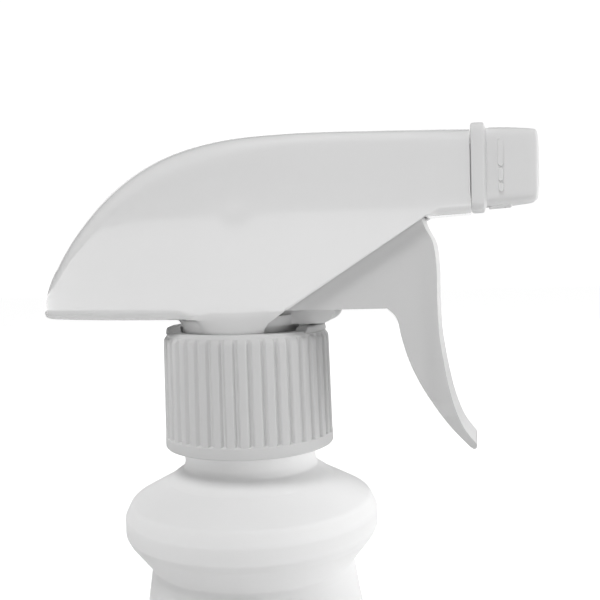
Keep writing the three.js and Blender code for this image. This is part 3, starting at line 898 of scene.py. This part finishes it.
def box_ring(x, half, low, high, radius):
    """A rounded rectangle about the discharge axis in the plane at x, from low to high."""
    ring = []
    for k in range(RING):
        angle = 2 * math.pi * (k + 0.5) / RING
        c, s = math.cos(angle), math.sin(angle)
        reach = min(half / abs(c), (high if s > 0 else low) / abs(s))
        point = Vector((c * reach, s * reach))
        inner = Vector((half - radius, (high if s > 0 else low) - radius))
        if abs(point.x) > inner.x and abs(point.y) > inner.y:
            corner = Vector((math.copysign(inner.x, c), math.copysign(inner.y, s)))
            point = corner + (point - corner).normalized() * radius
        ring.append((x, point.x, DISCHARGE_Z + point.y))
    return ring


def round_ring(x, radius):
    angles = [2 * math.pi * (k + 0.5) / RING for k in range(RING)]
    return [(x, radius * math.cos(a), DISCHARGE_Z + radius * math.sin(a)) for a in angles]


plate_box = {"half": 7.2, "low": 7.9, "high": 6.5, "radius": 2.2}
PLATE_BACK, PLATE_FRONT, PLATE_HOLE = 43.9, 45.1, 5.5
plate_rings = [box_ring(x, **plate_box) for x in (PLATE_BACK, PLATE_FRONT)]
plate_rings += [round_ring(x, PLATE_HOLE) for x in (PLATE_FRONT, PLATE_BACK)]
plate = piece("cover_front_plate", *skin(plate_rings, closed_length=True), "cover", sharp=40)
for made in (cover, skirt, plate):
    stands_for(made, "head", "cover_plastic", "shroud")

# %% [markdown]
# ## Trigger
# The lever is a channel: two cheeks that straddle the pump and join in a rounded front wall, which narrows
# and curls forward to the tip. The side view and the plan view are each easy to draw, so the lever is the
# solid that fits both, hollowed by the same two views moved in, and its edges are then rounded by a bevel.

# %% Trigger
pivot = Vector(joints["trigger_pull"]["pos_m"])
PIVOT_X, PIVOT_Z = pivot.x / MM, (pivot.z - SEAT) / MM


def prism(name, outline, start, end, along):
    """A front (y, z), side (x, z) or plan (x, y) view drawn out along X, Y or Z, in lever plastic."""
    rings = []
    for d in (start, end):
        rings.append([{"X": (d, a, b), "Y": (a, d, b), "Z": (a, b, d)}[along] for a, b in outline])
    vertices, faces = skin(rings)
    count = len(outline)
    faces += [tuple(range(count))[::-1], tuple(count + k for k in range(count))]
    return piece(name, vertices, faces, "lever", merge=0.01)


def combined(made, other, operation):
    """Joins, cuts or intersects with another piece, which is used up."""
    modifier = made.modifiers.new(operation.lower(), "BOOLEAN")
    modifier.operation = operation
    modifier.solver = "EXACT"
    modifier.object = other
    finished(made)
    bpy.data.objects.remove(other)
    return made


def cheek_half(x):
    return 7.8 + 0.15 * (34 - x) if x < 34 else max(7.8 - 0.1 * (x - 34), 7.2)


lever_front = curve_through(
    [
        (35.6, 46.2), (36.7, 42.4), (38.3, 39), (38.8, 34), (38.8, 28), (39.2, 20.8), (40.9, 11.1), (43, 5),
        (45.6, 1.4),
    ],
    6,
)
lever_back = curve_through(
    [
        (44.3, 0.9), (41.2, 4.3), (38.3, 8.2), (35.4, 13), (33.4, 17.4), (32.1, 21.8), (31.3, 25.4),
        (29.6, 27.3),
    ],
    6,
)
eye_arc = [
    (PIVOT_X + 3.9 * math.cos(a), PIVOT_Z + 3.9 * math.sin(a)) for a in np.linspace(0.8, 0.15, 12) * math.pi
]
tip_nose = [(45.3, 1.8), (45.5, 1.3), (45.45, 0.8)]
lever_side = [*eye_arc, *lever_front[:-1], *tip_nose, (45.2, 0.45), (44.8, 0.42)]
lever_side += [*lever_back, (10.6, 27.45), (9.4, 28.4), (9.4, 32)]
lever_hollow = [(0, 60), (50, 60), (50, 45.4), (34.4, 45.4)]
lever_hollow += [(x - 1.7, z) for x, z in lever_front[6:-14]] + [(42, 4.6), (36, -4), (0, -4)]


def plan_outline(inset):
    stations = [8, *np.linspace(20, 47, 10)]
    side = [(x, cheek_half(x) - inset) for x in stations]
    return side + [(x, -y) for x, y in reversed(side)]


lever = combined(
    prism("trigger_lever", lever_side, -15, 15, "Y"), prism("plan", plan_outline(0), -5, 60, "Z"), "INTERSECT"
)


def round_front(made, line, width):
    """Rounds only the long edges that run down a line of (x, z), by giving them a bevel weight."""
    mesh = made.data
    weights = mesh.attributes.new("bevel_weight_edge", "FLOAT", "EDGE")
    marked = np.array(line)
    for edge in mesh.edges:
        ends = [mesh.vertices[i].co for i in edge.vertices]
        on_line = all(np.hypot(*(marked - (p.x / MM, (p.z - SEAT) / MM)).T).min() < 0.02 for p in ends)
        weights.data[edge.index].value = 1.0 if on_line and (ends[0] - ends[1]).y ** 2 < 1e-7 else 0.0
    bevel = made.modifiers.new("front", "BEVEL")
    bevel.width, bevel.segments, bevel.limit_method = width * MM, 6, "WEIGHT"
    attributes = finished(made).data.attributes
    attributes.remove(attributes["bevel_weight_edge"])


round_front(lever, lever_front[8:] + tip_nose, 2.2)
hollow = combined(
    prism("hollow", lever_hollow, -15, 15, "Y"),
    prism("inner_plan", plan_outline(1.3), -6, 61, "Z"),
    "INTERSECT",
)
combined(lever, hollow, "DIFFERENCE")


def round_edges(made, width, segments=3, limit=40):
    bevel = made.modifiers.new("edge", "BEVEL")
    bevel.width = width * MM
    bevel.segments = segments
    bevel.limit_method = "ANGLE"
    bevel.angle_limit = math.radians(limit)
    finished(made)
    smooth(made.data, limit)


tip = rounded([(-7.25, 10, 0), (-7.1, 7, 3), (-6, 0.2, 2), (6, 0.2, 2), (7.1, 7, 3), (7.25, 10, 0)], 0, 8)
tip_front = [(-16, 60), (-16, 12), (-7.9, 12)] + tip + [(7.9, 12), (16, 12), (16, 60)]
combined(lever, prism("tip_front", tip_front, 0, 50, "X"), "INTERSECT")
round_edges(lever, 0.5)
clean(lever.data, 0.00001)
smooth(lever.data, 40)


# %% Trigger rib and eyes
def rod_y(name, radius, half, x, z):
    """A round bar across, with rounded ends, in lever plastic."""
    outline = rounded([(0, -half), (radius, -half), (radius, half), (0, half)], 0.3)
    vertices, faces = turned_skin(outline, 40)
    return piece(name, [(x + a, d, z + b) for a, b, d in vertices], faces, "lever")


PUSH_ARM, PUSH_LEAN, PUSH_HALF = 14, math.radians(11), 5  # pivot to rib, its lean forward, half its length
push_x, push_z = PIVOT_X + PUSH_ARM * math.sin(PUSH_LEAN), PIVOT_Z - PUSH_ARM * math.cos(PUSH_LEAN)
rib_bar = rod_y("trigger_push_rib", 1.5, PUSH_HALF, push_x, push_z)
rib_web = prism(
    "trigger_push_web",
    [(push_x, push_z - 1.1), (37.6, push_z - 1.1), (37.6, push_z + 1.1), (push_x, push_z + 1.1)],
    -PUSH_HALF,
    PUSH_HALF,
    "Y",
)
combined(lever, rod_y("eye", 2.1, 12, PIVOT_X, PIVOT_Z), "DIFFERENCE")
smooth(lever.data, 40)
for made in (lever, rib_bar, rib_web):
    stands_for(made, "trigger", "lever_plastic", "trigger")

# %% [markdown]
# ## Nozzle cap
# The cap is square outside and round inside, with a flange at the back and a slightly bulging front. Rings
# of equally many points can pass from square to round, so the whole cap is one skin that runs over the
# outside, in through the spray hole and back along the bore. Raised bars on its faces tell the settings
# apart: a plain jet, a fan, and a closed square, in place of any words.

# %% Nozzle cap
outer_rings = [
    box_ring(x, half, half, half, radius)
    for x, half, radius in [
        (45.3, 7.6, 1.2), (45.45, 7.9, 1.3), (45.8, 8, 1.3), (47.3, 8, 1.3), (47.65, 7.9, 1.3),
        (47.85, 7.6, 1.4), (47.95, 7.2, 1.4), (48.1, 7.02, 1.4), (48.6, 7, 1.4), (50.5, 6.97, 1.4),
        (53, 6.85, 1.4), (55.5, 6.62, 1.4), (56.6, 6.48, 1.5), (56.95, 6.35, 1.6), (57.2, 6.05, 1.8),
        (57.35, 5.6, 2), (57.5, 4.6, 2.6),
    ]
]
bore_rings = [
    round_ring(x, radius)
    for x, radius in [
        (57.5, 3.6), (57.42, 3.3), (57.2, 3.2), (54.9, 3.15), (54.65, 3), (54.6, 2.6), (54.6, 0.9),
        (54.5, 0.6), (54.2, 0.5), (52.05, 0.5), (52, 0.6), (52, 3.1), (51.9, 3.3), (51.2, 3.3), (51.15, 5.6),
        (51.1, 5.75), (45.9, 5.75), (45.8, 5.3), (45.6, 5.2), (45.4, 5.25), (45.3, 5.5),
    ]
]
nozzle = piece("nozzle_cap_shell", *skin(outer_rings + bore_rings, closed_length=True), "nozzle", sharp=40)


# %% Raised marks
def raised_bar(start, end, width, side, height=0.45):
    """A bar with round ends on one face of the cap. Start and end are (along X, across the face)."""
    start, end = Vector(start), Vector(end)
    run = (end - start).normalized()
    across = Vector((-run.y, run.x))
    outline = []
    for centre, first in ((end, -90), (start, 90)):
        for a in np.linspace(first, first + 180, 9):
            a = math.radians(a)
            outline.append(centre + (run * math.cos(a) + across * math.sin(a)) * width / 2)
    middle = (start + end) / 2
    rings = []
    for lift, shrink in ((-0.3, 1), (height - 0.12, 1), (height, 0.8)):
        ring = []
        for point in outline:
            x, v = point + (middle - point).normalized() * (width / 2) * (1 - shrink)
            out = 7.0 - 0.045 * max(x - 48.6, 0) + lift
            ring.append(side(x, v, out))
        rings.append(ring)
    vertices, faces = skin(rings)
    count = len(outline)
    faces += [tuple(range(count))[::-1], tuple(2 * count + k for k in range(count))]
    return vertices, faces


SIDES = {
    "near": lambda x, v, out: (x, -out, DISCHARGE_Z + v),
    "far": lambda x, v, out: (x, out, DISCHARGE_Z - v),
    "top": lambda x, v, out: (x, v, DISCHARGE_Z + out),
    "under": lambda x, v, out: (x, -v, DISCHARGE_Z - out),
}
JET = [((50.6, 4.4), (50.6, 0.4)), ((50.6, -0.9), (50.6, -2.3)), ((50.6, -3.6), (50.6, -4.2))]
FAN = [
    ((50.6, 4.2), (50.6, 3.4)), ((50.6, 1.6), (50.6, -3.8)),
    ((50.1, 1.6), (48.9, -3.4)), ((51.1, 1.6), (52.3, -3.4)),
]
STOP_CORNERS = [(49, 2.6), (52.2, 2.6), (52.2, -2.6), (49, -2.6)]
STOP = list(zip(STOP_CORNERS, STOP_CORNERS[1:] + STOP_CORNERS[:1]))
marks_vertices, marks_faces = [], []
for side, mark in (("near", JET), ("far", FAN), ("top", STOP), ("under", STOP)):
    for start, end in mark:
        vertices, faces = raised_bar(start, end, 0.95, SIDES[side])
        marks_faces += [tuple(i + len(marks_vertices) for i in face) for face in faces]
        marks_vertices += vertices
marks = piece("nozzle_marks", marks_vertices, marks_faces, "nozzle", merge=0.0001)
for made in (nozzle, marks):
    stands_for(made, "nozzle", "nozzle_plastic", "nozzle_cap")

# %% [markdown]
# ## Pump body
# The pump body is a many-sided moulding whose CAD shape is right, so its mesh is copied, its flat faces are
# joined up again and its edges are rounded.

# %% Pump body


def refined(node, name, finish, edge):
    """A cleaned copy of a CAD piece, with rounded edges."""
    mesh = nodes[node].data.copy()
    mesh.name = name
    made = bpy.data.objects.new(name, mesh)
    scene.collection.objects.link(made)
    mesh.materials.clear()
    mesh.materials.append(finishes[finish])
    bm = bmesh.new()
    bm.from_mesh(mesh)
    bmesh.ops.remove_doubles(bm, verts=bm.verts, dist=0.000002)
    bmesh.ops.dissolve_limit(bm, angle_limit=math.radians(1), verts=bm.verts, edges=bm.edges)
    bm.to_mesh(mesh)
    bm.free()
    mesh.normals_split_custom_set_from_vertices([(0, 0, 0)] * len(mesh.vertices))
    round_edges(made, edge, 2, 50)
    smooth(made.data, 40)
    return made


pump_body = refined("pump_body", "pump_body_moulding", "body", 0.12)
stands_for(pump_body, "head", "body_plastic", "pump_body")

# %% [markdown]
# ## Springs
# A spring follows a rule, so Geometry Nodes makes it: a helix along Z, given the wire's thickness, then laid
# along the pump.

# %% Springs


def spring_tree():
    """A helix of round wire laid along X."""
    sizes = {label: "Float" for label in ("Turns", "Radius", "Length", "Wire")}
    tree = empty_tree("coil_spring", {**sizes, "Start": "Vector"})
    new, link = tree.nodes.new, tree.links.new
    source = new("NodeGroupInput")
    helix = new("GeometryNodeCurveSpiral")
    helix.inputs["Resolution"].default_value = 36
    wire = new("GeometryNodeCurvePrimitiveCircle")
    wire.inputs["Resolution"].default_value = 10
    tube = new("GeometryNodeCurveToMesh")
    tube.inputs["Fill Caps"].default_value = True
    lay = new("GeometryNodeTransform")
    lay.inputs["Rotation"].default_value = (0, math.pi / 2, 0)
    link(source.outputs["Turns"], helix.inputs["Rotations"])
    link(source.outputs["Radius"], helix.inputs["Start Radius"])
    link(source.outputs["Radius"], helix.inputs["End Radius"])
    link(source.outputs["Length"], helix.inputs["Height"])
    link(source.outputs["Wire"], wire.inputs["Radius"])
    link(helix.outputs[0], tube.inputs["Curve"])
    link(wire.outputs[0], tube.inputs["Profile Curve"])
    link(tube.outputs[0], lay.inputs["Geometry"])
    link(source.outputs["Start"], lay.inputs["Translation"])
    return end_tree(tree, source, lay.outputs[0])


coil = spring_tree()


def spring(node, name, wire, turns):
    """A spring that fills its CAD node's length."""
    low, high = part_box(node)
    radius = (high.z - low.z) / 2 - wire
    length = high.x - low.x - 2 * wire
    axis_z = (low.z + high.z) / 2
    values = {"Turns": turns, "Radius": radius, "Length": length, "Wire": wire, "Material": finishes["steel"]}
    values["Start"] = (low.x + wire, 0, axis_z)
    made = grown(name, coil, values)
    stands_for(made, "head", "spring_steel", node)
    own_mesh(made)


spring("return_spring", "return_spring_coil", 0.0004, 4.5)
spring("outlet_spring", "outlet_spring_coil", 0.00025, 5.0)

# %% [markdown]
# ## The rest of the inside
# The pieces that stay hidden keep their CAD shape, with the finish of what they are made of.

# %% Inner pieces
inner_finishes = {
    "natural": ["tube_retainer", "dip_tube", "body_plug", "swirl_core", "piston_rod", "outlet_valve"],
    "rubber": ["gasket", "nozzle_seal", "piston_cup"],
    "steel": ["inlet_ball"],
}
for finish, names in inner_finishes.items():
    for name in names:
        slots = nodes[name].material_slots
        for slot in slots:
            slot.material = finishes[finish]
        print(name, "is", finish)
